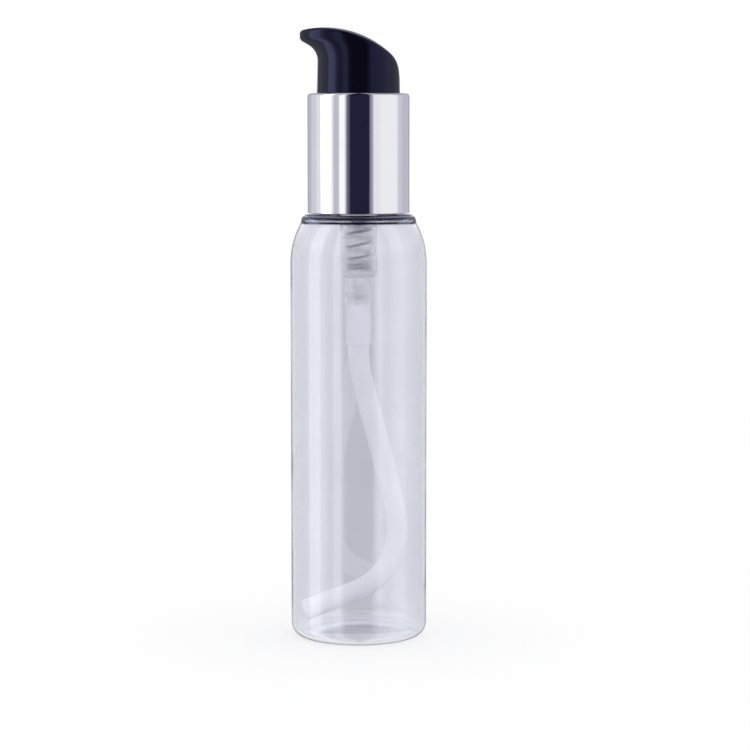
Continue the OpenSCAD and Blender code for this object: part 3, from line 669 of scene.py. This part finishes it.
def addNibs(housing):
    # pegs in the chamber's wall, over the ball
    p = pump
    _, ballLow, ballHigh = roundSpan("inlet_ball")
    nibZ = (ballLow + ballHigh) / 2 + p["nibRise"]
    r, length = p["nibR"], p["chamberR"] + p["nibSink"] - p["nibReach"]
    outline = softCorners([(0, 0), (r, 0, p["nibEdge"]), (r, length), (0, length)], closed=False)
    for i in range(p["nibs"]):
        nib = turned("nib", outline, housingFinish, closed=False, sides=p["nibSides"])
        angle = math.tau * i / p["nibs"]
        for v in nib.data.vertices:
            x, y, z = v.co
            reach = z + p["nibReach"] * mm
            v.co = (reach * math.cos(angle) - y * math.sin(angle),
                    reach * math.sin(angle) + y * math.cos(angle), nibZ * mm - x)
        combine(housing, faceOutwards(nib), "UNION")


def makeHousing():
    p = pump
    flangeR, tailZ, highZ = roundSpan("pump_housing")
    e, bend, boreR, chamberR, inletR = p["edge"], p["bendEdge"], p["boreR"], p["chamberR"], p["inletR"]
    flangeZ = highZ - p["flangeT"]
    footZ = flangeZ - p["housingDepth"]
    floorZ = footZ + p["floorT"]
    tubeTop = tailZ + p["tubeInsert"]
    seatZ = tubeTop + p["seatRise"]
    plugZ = span("housing_retainer")["low"] - p["plugClear"]
    taperZ = plugZ - p["taperDrop"]
    socketR, plugR, outR = p["tubeR"] + p["plugGap"], p["plugR"] + p["plugGap"], boreR + p["wall"]
    tailR, upperR = socketR + p["tailWall"], plugR + p["wall"]
    outline = softCorners([
        (flangeR, flangeZ, e), (flangeR, highZ, e), (plugR, highZ, e), (plugR, plugZ, e), (boreR, plugZ, e),
        (boreR, floorZ, bend), (chamberR, floorZ, e), (chamberR, seatZ + chamberR - inletR), (inletR, seatZ),
        (inletR, tubeTop, e), (socketR, tubeTop, e), (socketR, tailZ, e), (tailR, tailZ, e),
        (tailR, footZ, e), (outR, footZ + outR - tailR, bend), (outR, taperZ - (upperR - outR), bend),
        (upperR, taperZ, bend), (upperR, flangeZ, e)])
    housing = turned("pumpHousing", outline, housingFinish, sides=p["sides"])
    addNibs(housing)
    moveWith(housing, "pump", "pump_housing")


def makeGasket():
    e = gasket["edge"]
    outR, lowZ, highZ = roundSpan("neck_gasket")
    innerR = pump["plugR"] + pump["plugGap"] + pump["wall"] + gasket["sideGap"]
    outline = softCorners([(innerR, lowZ, e), (outR, lowZ, e), (outR, highZ, e), (innerR, highZ, e)])
    ring = turned("neckGasket", outline, gasketFinish, sides=gasket["sides"])
    moveWith(ring, "pump", "neck_gasket")


def makeRetainer():
    r = retainer
    flangeR, lowZ, highZ = roundSpan("housing_retainer")
    e, plugR, neckR, guideR = r["edge"], pump["plugR"], r["neckR"], r["guideR"]
    boreR = stem["r"] + r["stemGap"]
    plugTop = span("pump_housing")["high"]
    flangeTop = highZ - r["guideH"]
    flangeZ = flangeTop - r["flangeT"]
    outline = softCorners([
        (boreR, lowZ, e), (plugR, lowZ, e), (plugR, plugTop), (neckR, plugTop, e), (neckR, flangeZ),
        (flangeR, flangeZ, e), (flangeR, flangeTop, e), (guideR, flangeTop, e), (guideR, highZ, e),
        (boreR, highZ, e)])
    plug = turned("housingRetainer", outline, whiteFinish, sides=r["sides"])
    moveWith(plug, "pump", "housing_retainer")


def makeBall():
    _, lowZ, highZ = roundSpan("inlet_ball")
    r = (highZ - lowZ) / 2
    outline = arcPoints(0, lowZ + r, r, -90, 90, ball["steps"])
    piece = turned("inletBall", outline, ballFinish, closed=False, sides=ball["sides"])
    moveWith(piece, "ball", "inlet_ball")


def makePiston():
    p = piston
    lipR, lowZ, highZ = roundSpan("piston")
    e, seatR, waistR, innerR = p["edge"], p["seatR"], p["waistR"], p["innerR"]
    boreR = stem["r"] + retainer["stemGap"]
    stepZ = lowZ + p["stepRise"]
    outline = softCorners([
        (seatR, lowZ), (lipR, lowZ, e), (lipR, lowZ + p["lipH"], e), (waistR, lowZ + p["lipH"], e),
        (waistR, highZ - p["lipH"], e), (lipR, highZ - p["lipH"], e), (lipR, highZ, e), (boreR, highZ, e),
        (boreR, stepZ), (innerR, stepZ, e), (innerR, lowZ + seatR - innerR)])
    piece = turned("pumpPiston", outline, whiteFinish, sides=p["sides"])
    moveWith(piece, "piston", "piston")


def makeRod():
    p = rod
    e, r = p["edge"], p["r"]
    flangeR, lowZ, highZ = roundSpan("piston_rod")
    flangeZ = lowZ + p["noseLen"]
    coneZ = flangeZ + p["flangeT"]
    coneTop = coneZ + p["coneR"] - r
    outline = softCorners([
        (0, lowZ), (r, lowZ, p["noseEdge"]), (r, flangeZ, e), (flangeR, flangeZ, e), (flangeR, coneZ, e),
        (p["coneR"], coneZ, e), (r, coneTop), (r, coneTop + e), (r, highZ, e), (0, highZ)], closed=False)
    piece = turned("pistonRod", outline, rodFinish, closed=False, sides=p["sides"])
    for v in piece.data.vertices:  # two flats let the oil up past the rod
        if v.co.z > (coneTop + e / 2) * mm:
            v.co.x = max(-p["flat"] * mm, min(p["flat"] * mm, v.co.x))
    moveWith(piece, "plunger", "piston_rod")


def makeStem():
    p = stem
    e, r, boreR = p["edge"], p["r"], p["boreR"]
    ringR, lowZ, highZ = roundSpan("stem")
    ringZ = span("piston")["high"] + p["collarRise"]
    ringTop = ringZ + p["collarT"]
    outline = softCorners([
        (boreR, lowZ, e), (r, lowZ, e), (r, ringZ, e), (ringR, ringZ, e), (ringR, ringTop, e),
        (r, ringTop, e), (r, highZ, e), (boreR, highZ, e)])
    piece = turned("pumpStem", outline, whiteFinish, sides=p["sides"])
    moveWith(piece, "plunger", "stem")


makeHousing()
makeGasket()
makeRetainer()
makeBall()
makePiston()
makeRod()
makeStem()
print("pump pieces made")


# Return spring

spring = {"wireD": 0.6, "turns": 7.0, "coilGap": 0.48, "openingTurn": 1.4, "openingRun": 2.2,
          "closedTurns": 0.8, "seatGap": 0.02, "pressedShare": 0.548, "stepsPerTurn": 48, "wireSides": 16,
          "sharp": 60.0}


def makeSpring():
    s = spring
    box = span("return_spring")
    wireR = s["wireD"] / 2
    coilR = box["right"] - wireR
    endPitch = s["wireD"] + s["coilGap"]
    closing = s["turns"] - s["closedTurns"] - s["openingRun"]
    openTurns = closing - s["openingTurn"]  # each easing run holds half of itself
    rise = box["high"] - box["low"] - s["wireD"] - endPitch * s["turns"]
    section = arcPoints(0, 0, wireR, 0, 360, s["wireSides"])[:-1]
    wire = shaped(
        "returnSpring", woundTree, section, [], springFinish, sharp=s["sharp"],
        Steps=round(s["turns"] * s["stepsPerTurn"]), Section_Points=s["wireSides"], Turns=s["turns"],
        Coil_Radius=coilR * mm, Start_Height=(box["low"] + wireR) * mm, End_Pitch=endPitch * mm,
        Open_Pitch=rise / openTurns * mm, Opening_Turn=s["openingTurn"], Closing_Turn=closing,
        Opening_Run=s["openingRun"], Fade_Turns=1.0, End_Share=1.0)
    moveWith(wire, "pump", "return_spring")
    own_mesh(wire)


makeSpring()
print("return spring made")


# Dip tube: an S bend down beside the wall, then a turn across the base

dipTube = {"outerR": 3.0, "boreR": 2.2, "sideX": 11.1, "turnR": 19.0, "turn": 69.0, "endX": -15.6,
           "endZ": 7.0, "bendDrop": 1.0, "ease": 0.6, "bendSteps": 16, "turnSteps": 32, "steps": 140,
           "sides": 48}


def tubeLine():
    t = dipTube
    turn = math.radians(t["turn"])
    turnEndX = t["sideX"] - t["turnR"] * (1 - math.cos(turn))
    endRun = (turnEndX - t["endX"]) / math.sin(turn)
    turnZ = t["endZ"] + endRun * math.cos(turn) + t["turnR"] * math.sin(turn)
    bendTop = span("pump_housing")["low"] - t["bendDrop"]
    drop, side = bendTop - turnZ, t["sideX"]
    bendR = t["ease"] * (drop ** 2 + side ** 2) / (4 * side)
    across = 2 * bendR - side
    run = math.sqrt(across ** 2 + drop ** 2 - (2 * bendR) ** 2)
    lean = math.degrees(math.atan2(drop, across) - math.atan2(run, 2 * bendR))
    line = [(0, span("dip_tube")["high"])]
    line += arcPoints(bendR, bendTop, bendR, 180, 180 + lean, t["bendSteps"])
    line += arcPoints(side - bendR, turnZ, bendR, lean, 0, t["bendSteps"])
    line += arcPoints(side - t["turnR"], turnZ, t["turnR"], 0, -t["turn"], t["turnSteps"])[1:]
    return line + [(t["endX"], t["endZ"])]


def makeDipTube():
    t = dipTube
    line = tubeLine()
    edges = [(i, i + 1) for i in range(len(line) - 1)]
    tube = shaped("dipTube", tubeTree, line, edges, tubeFinish, Steps=t["steps"], Sides=t["sides"],
                  Outer_Radius=t["outerR"] * mm, Bore_Radius=t["boreR"] * mm)
    moveWith(tube, "pump", "dip_tube")


makeDipTube()
print("dip tube made")


# Press head

headSpan = span("press_head")
head = {"taper": 0.2, "flareStart": 9.2, "flareR": 5.2, "flareTurn": 60.0, "noseR": 1.5, "crownR": 27.5,
        "crownX": 9.5, "backR": 8.0, "crossR": 60.0, "pinch": 0.5, "edgeR": 0.8, "skirtWall": 1.4,
        "socketRoof": 13.8, "cavityRise": 2.2, "socketWall": 1.9, "socketRise": 7.4, "socketGap": 0.04,
        "outletD": 1.3, "outletDrop": 6.5, "outletLift": 0.3, "outletPast": 3.0, "outletSides": 48,
        "mouldEdge": 0.25, "sides": 192, "wallRings": 56, "edgeRings": 10, "topRings": 24, "edgeBand": 0.09,
        "edgeTries": 30, "sharp": 35.0}


def headForm():
    # gives the wall's outline at a height, the crown's height at a point, and the height of the nose
    h = head
    headR, reach = headSpan["right"], -headSpan["left"]
    topZ, seatZ = headSpan["high"], collarSpan["high"]
    topR = headR - h["taper"]
    flareZ = seatZ + h["flareStart"]
    flare = math.radians(h["flareTurn"])
    flareEndZ = flareZ + h["flareR"] * math.sin(flare)
    flareEndX = topR + h["flareR"] * (1 - math.cos(flare))
    noseX = reach - h["noseR"]
    noseRise = (noseX + h["noseR"] * math.cos(flare) - flareEndX) / math.tan(flare)
    noseZ = flareEndZ + h["noseR"] * math.sin(flare) + noseRise
    crownZ = topZ - h["crownR"]
    backX = topR - h["backR"]
    backZ = crownZ + math.sqrt((h["crownR"] - h["backR"]) ** 2 - (backX + h["crownX"]) ** 2)
    joinX = -h["crownX"] + (backX + h["crownX"]) * h["crownR"] / (h["crownR"] - h["backR"])

    def wallR(z):
        return headR - h["taper"] * min(max((z - seatZ) / h["flareStart"], 0), 1)

    def frontReach(z):
        if z <= flareZ:
            return wallR(z)
        if z <= flareEndZ:
            return topR + h["flareR"] - math.sqrt(h["flareR"] ** 2 - (z - flareZ) ** 2)
        if z <= noseZ - h["noseR"] * math.sin(flare):
            return flareEndX + (z - flareEndZ) * math.tan(flare)
        if z <= noseZ:
            return noseX + math.sqrt(h["noseR"] ** 2 - (noseZ - z) ** 2)
        return reach

    def outlineAt(a, z):
        r, front = wallR(z), frontReach(z)
        if math.cos(a) <= 0:
            return -r * math.cos(a), -r * math.sin(a)
        slim = 1 - h["pinch"] * (1 - r / front) * math.cos(a) ** 2
        return -front * math.cos(a), -r * math.sin(a) * slim

    def crown(x, y):
        if x <= joinX:
            top = crownZ + math.sqrt(h["crownR"] ** 2 - (x + h["crownX"]) ** 2)
        else:
            top = backZ + math.sqrt(max(h["backR"] ** 2 - (x - backX) ** 2, 0))
        return top - y * y / (2 * h["crossR"])

    return outlineAt, crown, noseZ


def headUnderside():
    # from the outlet's channel out to the skirt
    h = head
    e = h["mouldEdge"]
    headR, lowZ, topZ = headSpan["right"], headSpan["low"], headSpan["high"]
    roofZ = topZ - h["socketRoof"]
    cavityZ = roofZ + h["cavityRise"]
    socketR = stem["r"] + h["socketGap"]
    socketZ = span("housing_retainer")["high"] + h["socketRise"]
    sleeveR, skirtR = socketR + h["socketWall"], headR - h["skirtWall"]
    channelR, channelZ = stem["boreR"], topZ - h["outletDrop"] + h["outletD"] / 2
    return softCorners([
        (channelR, channelZ, e), (channelR, roofZ), (socketR, roofZ, e), (socketR, socketZ, e),
        (sleeveR, socketZ, e), (sleeveR, cavityZ, e), (skirtR, cavityZ, e), (skirtR, lowZ, e),
        (headR, lowZ, e), (headR, collarSpan["high"])], closed=False)


def headRings(under, outlineAt, crown, poleX):
    # rings of points from the underside, up the wall and in over the crown
    h = head
    seatZ = collarSpan["high"]
    angles = [math.tau * j / h["sides"] for j in range(h["sides"])]

    def edgeZ(a):  # height of the wall's upper edge, by halving the span that holds it
        low, high = seatZ, headSpan["high"]
        for _ in range(h["edgeTries"]):
            z = (low + high) / 2
            if crown(*outlineAt(a, z)) - h["edgeR"] > z:
                low = z
            else:
                high = z
        return low

    def edgeDrop(inset):
        left = max(h["edgeR"] - inset, 0)
        return h["edgeR"] - math.sqrt(h["edgeR"] ** 2 - left ** 2)

    def wallPoint(a, top, share):
        z = seatZ + share * (top - seatZ)
        return (*outlineAt(a, z), z)

    def topPoint(a, top, share):
        x, y = outlineAt(a, top)
        px, py = poleX + share * (x - poleX), share * y
        inset = (1 - share) * math.hypot(x - poleX, y)
        return px, py, crown(px, py) - edgeDrop(inset)

    edges = [edgeZ(a) for a in angles]
    steps = [math.pi / 2 * k / h["edgeRings"] for k in range(1, h["edgeRings"] + 1)]
    shares = [1 - h["edgeBand"] * (1 - math.cos(step)) for step in steps]
    shares += [(1 - h["edgeBand"]) * (1 - k / h["topRings"]) for k in range(1, h["topRings"])]
    rings = [[(-r * math.cos(a), -r * math.sin(a), z) for a in angles] for r, z in under]
    for k in range(1, h["wallRings"] + 1):
        rings.append([wallPoint(a, top, k / h["wallRings"]) for a, top in zip(angles, edges)])
    for share in shares:
        rings.append([topPoint(a, top, share) for a, top in zip(angles, edges)])
    return rings


def ringMesh(name, rings, lowPole, highPole, finish):
    # rings of points, joined by faces and closed by a point at each end
    n = len(rings[0])
    last = (len(rings) - 1) * n
    points = [p for ring in rings for p in ring] + [lowPole, highPole]
    sides = [(j, (j + 1) % n) for j in range(n)]
    faces = [(i + j, i + k, i + n + k, i + n + j) for i in range(0, last, n) for j, k in sides]
    for j, k in sides:
        faces += [(len(points) - 2, k, j), (len(points) - 1, last + j, last + k)]
    mesh = bpy.data.meshes.new(name)
    mesh.from_pydata([(x * mm, y * mm, z * mm) for x, y, z in points], [], faces)
    mesh.materials.append(finish)
    return faceOutwards(newObject(name, mesh))


def drillOutlet(piece, noseZ):
    # the outlet runs from the middle out through the beak's tip
    h = head
    reach, r = -headSpan["left"], h["outletD"] / 2
    length = reach + h["outletPast"]
    outletZ = headSpan["high"] - h["outletDrop"]
    slant = math.atan2(noseZ + h["outletLift"] - outletZ, reach)
    drill = turned("outletDrill", [(0, 0), (r, 0), (r, length), (0, length)], headFinish, closed=False,
                   sides=h["outletSides"])
    for v in drill.data.vertices:
        x, y, z = v.co
        v.co = (x * math.sin(slant) - z * math.cos(slant), y,
                outletZ * mm + z * math.sin(slant) + x * math.cos(slant))
    combine(piece, faceOutwards(drill), "DIFFERENCE")


def smoothBelow(piece, sharp):
    piece.data.shade_smooth()
    work = bmesh.new()
    work.from_mesh(piece.data)
    for edge in work.edges:
        edge.smooth = edge.calc_face_angle(0) < math.radians(sharp)
    work.to_mesh(piece.data)
    work.free()


def makeHead():
    outlineAt, crown, noseZ = headForm()
    under = headUnderside()
    poleX = (headSpan["right"] - head["taper"] + headSpan["left"]) / 2
    rings = headRings(under, outlineAt, crown, poleX)
    piece = ringMesh("pressHead", rings, (0, 0, under[0][1]), (poleX, 0, crown(poleX, 0)), headFinish)
    drillOutlet(piece, noseZ)
    smoothBelow(piece, head["sharp"])
    moveWith(piece, "head", "press_head")


makeHead()
print("press head made")


# Studio: cards round the object, as degrees from the camera's side, left is negative

# levels of light, slopes of a ray and metres, and the depths past which a ray has bounced or entered a wall
studio = {"cool": 0.22, "peak": 3.0, "softLight": 1.1, "insideLight": 1.5, "ceiling": 0.1, "ceilingFrom": 0.2,
          "ceilingTo": 0.4, "dimFrom": 0.4, "dimTo": 0.8, "dimShare": 0.4, "glowFrom": 0.1, "glowTo": 0.3,
          "glow": 1.7, "bounced": 0.5, "entered": 1.5, "floorSize": 3.0, "floorDrop": 0.00005,
          "floorTone": 0.8, "floorLift": 0.13, "whiteFrom": 0.25, "whiteTo": 0.6}
studioCards = [(-180, -160, 0.36), (-152, -140, 0.5), (-128, -114, 0.66), (-106, -96, 0.8), (-89, -69, 2.4),
               (-65, -61, 0.95), (-57, -46, 0.55), (-42, -32, 1.05), (-25, -21, 0.12), (-18, 24, 0.015),
               (28, 31, 0.3), (36, 44, 0.84), (56, 95, 0.92), (105, 112, 0.62), (122, 150, 0.53),
               (162, 180, 0.36)]
# what the inner sides of the clear walls reflect, brighter to make up for their tint
insideCards = [(-180, -155, 1.0), (-145, -125, 1.2), (-118, -108, 1.2), (-92, -75, 2.1), (-68, -61, 1.5),
               (-57, -46, 1.2), (-42, -32, 2.2), (-25, -21, 0.26), (-18, 23, 0.03), (27, 30, 0.65),
               (36, 46, 1.7), (52, 56, 1.4), (63, 84, 2.2), (94, 106, 1.4), (122, 148, 1.05), (160, 180, 1.0)]


def cardStops(cards):
    stops = []
    for start, end, level in cards:
        # the darker a card, the bluer it is
        blue = level + studio["cool"] * math.sqrt(level) * max(1 - level, 0)
        colour = tuple(v / studio["peak"] for v in (level, level, blue))
        stops += [((start + 180) / 360, colour), ((end + 180) / 360, colour)]
    return stops


def makeStudio():
    s = studio
    world = bpy.data.worlds.new("studio")
    bpy.context.scene.world = world
    world.use_nodes = True
    world.cycles.sampling_method = "NONE"
    tree = world.node_tree
    tree.nodes.clear()
    way = apart(place(tree, "ShaderNodeTexCoord").outputs["Generated"])
    slope = way["Z"]
    bearing = calc("ARCTAN2", way["X"], times(way["Y"], -1.0))
    turn = remap(bearing, -math.pi, math.pi, 0.0, 1.0)
    path = place(tree, "ShaderNodeLightPath").outputs
    reflected = over(path["Glossy Depth"], s["bounced"])
    scattered = over(path["Diffuse Depth"], s["bounced"])
    inside = over(path["Transmission Depth"], s["entered"])
    cards = place(tree, "ShaderNodeMixRGB", Fac=inside, Color1=ramp(turn, cardStops(studioCards)),
                  Color2=ramp(turn, cardStops(insideCards)))
    # reflections dim towards the ceiling, those inside the clear walls brighten
    outer = remap(slope, s["dimFrom"], s["dimTo"], s["peak"], s["peak"] * s["dimShare"])
    inner = remap(slope, s["glowFrom"], s["glowTo"], s["peak"], s["peak"] * s["glow"])
    level = place(tree, "ShaderNodeMix", Factor=inside, A=outer, B=inner)
    shiny = place(tree, "ShaderNodeBackground", Color=cards.outputs[0], Strength=level.outputs[0])
    soft = remap(inside, 0.0, 1.0, s["softLight"], s["softLight"] * s["insideLight"])
    light = place(tree, "ShaderNodeBackground", Color=(1, 1, 1, 1), Strength=soft)
    above = remap(slope, s["ceilingFrom"], s["ceilingTo"], 0.0, 1.0)
    dimmed = times(times(above, path["Is Transmission Ray"]), 1.0 - s["ceiling"])
    white = place(tree, "ShaderNodeBackground", Color=(1, 1, 1, 1), Strength=minus(1.0, dimmed))
    seen = mixShaders(reflected, white, shiny)
    place(tree, "ShaderNodeOutputWorld", Surface=mixShaders(scattered, seen, light).outputs[0])


def makeFloor():
    s = studio
    half = s["floorSize"] / 2
    corners = [(-half, -half), (half, -half), (half, half), (-half, half)]
    mesh = bpy.data.meshes.new("floor")
    mesh.from_pydata([(x, y, -s["floorDrop"]) for x, y in corners], [], [(0, 1, 2, 3)])
    material = bpy.data.materials.new("paleFloor")
    material.use_nodes = True
    tree = material.node_tree
    tree.nodes.clear()
    matt = place(tree, "ShaderNodeBsdfDiffuse", Color=(*[s["floorTone"]] * 3, 1))
    path = place(tree, "ShaderNodeLightPath").outputs
    lift = place(tree, "ShaderNodeEmission", Strength=times(path["Is Camera Ray"], s["floorLift"]))
    near = place(tree, "ShaderNodeAddShader")
    feed(matt.outputs[0], near.inputs[0])
    feed(lift.outputs[0], near.inputs[1])
    white = place(tree, "ShaderNodeEmission", Strength=1.0)
    spot = place(tree, "ShaderNodeTexCoord").outputs["Object"]
    away = place(tree, "ShaderNodeVectorMath", {"operation": "LENGTH"}, Vector=spot).outputs["Value"]
    far = remap(away, s["whiteFrom"], s["whiteTo"], 0.0, 1.0)
    plain = calc("MAXIMUM", times(far, path["Is Camera Ray"]), path["Is Transmission Ray"])
    both = mixShaders(plain, near, white)
    # reflections, also those inside the clear walls, show the cards below the horizon too
    reflected = over(path["Glossy Depth"], s["bounced"])
    gone = mixShaders(reflected, both, place(tree, "ShaderNodeBsdfTransparent"))
    place(tree, "ShaderNodeOutputMaterial", Surface=gone.outputs[0])
    mesh.materials.append(material)
    newObject("floor", mesh)


makeStudio()
makeFloor()

# metres, and the lens in millimetres
view = {"distance": 0.66, "height": 0.14, "aimX": 0.0047, "aimZ": 0.0756, "nearest": 0.01, "lens": 110.6}


def makeCamera():
    v = view
    camera = bpy.data.cameras.new("photoCamera")
    camera.lens = v["lens"]
    camera.clip_start = v["nearest"]
    holder = newObject("photoCamera", camera)
    holder.location = (v["aimX"], -v["distance"], v["height"])
    aim = Vector((v["aimX"], 0, v["aimZ"])) - holder.location
    holder.rotation_euler = aim.to_track_quat("-Z", "Y").to_euler()
    bpy.context.scene.camera = holder


makeCamera()
bpy.context.scene.view_settings.view_transform = "Standard"
print("studio and camera made")
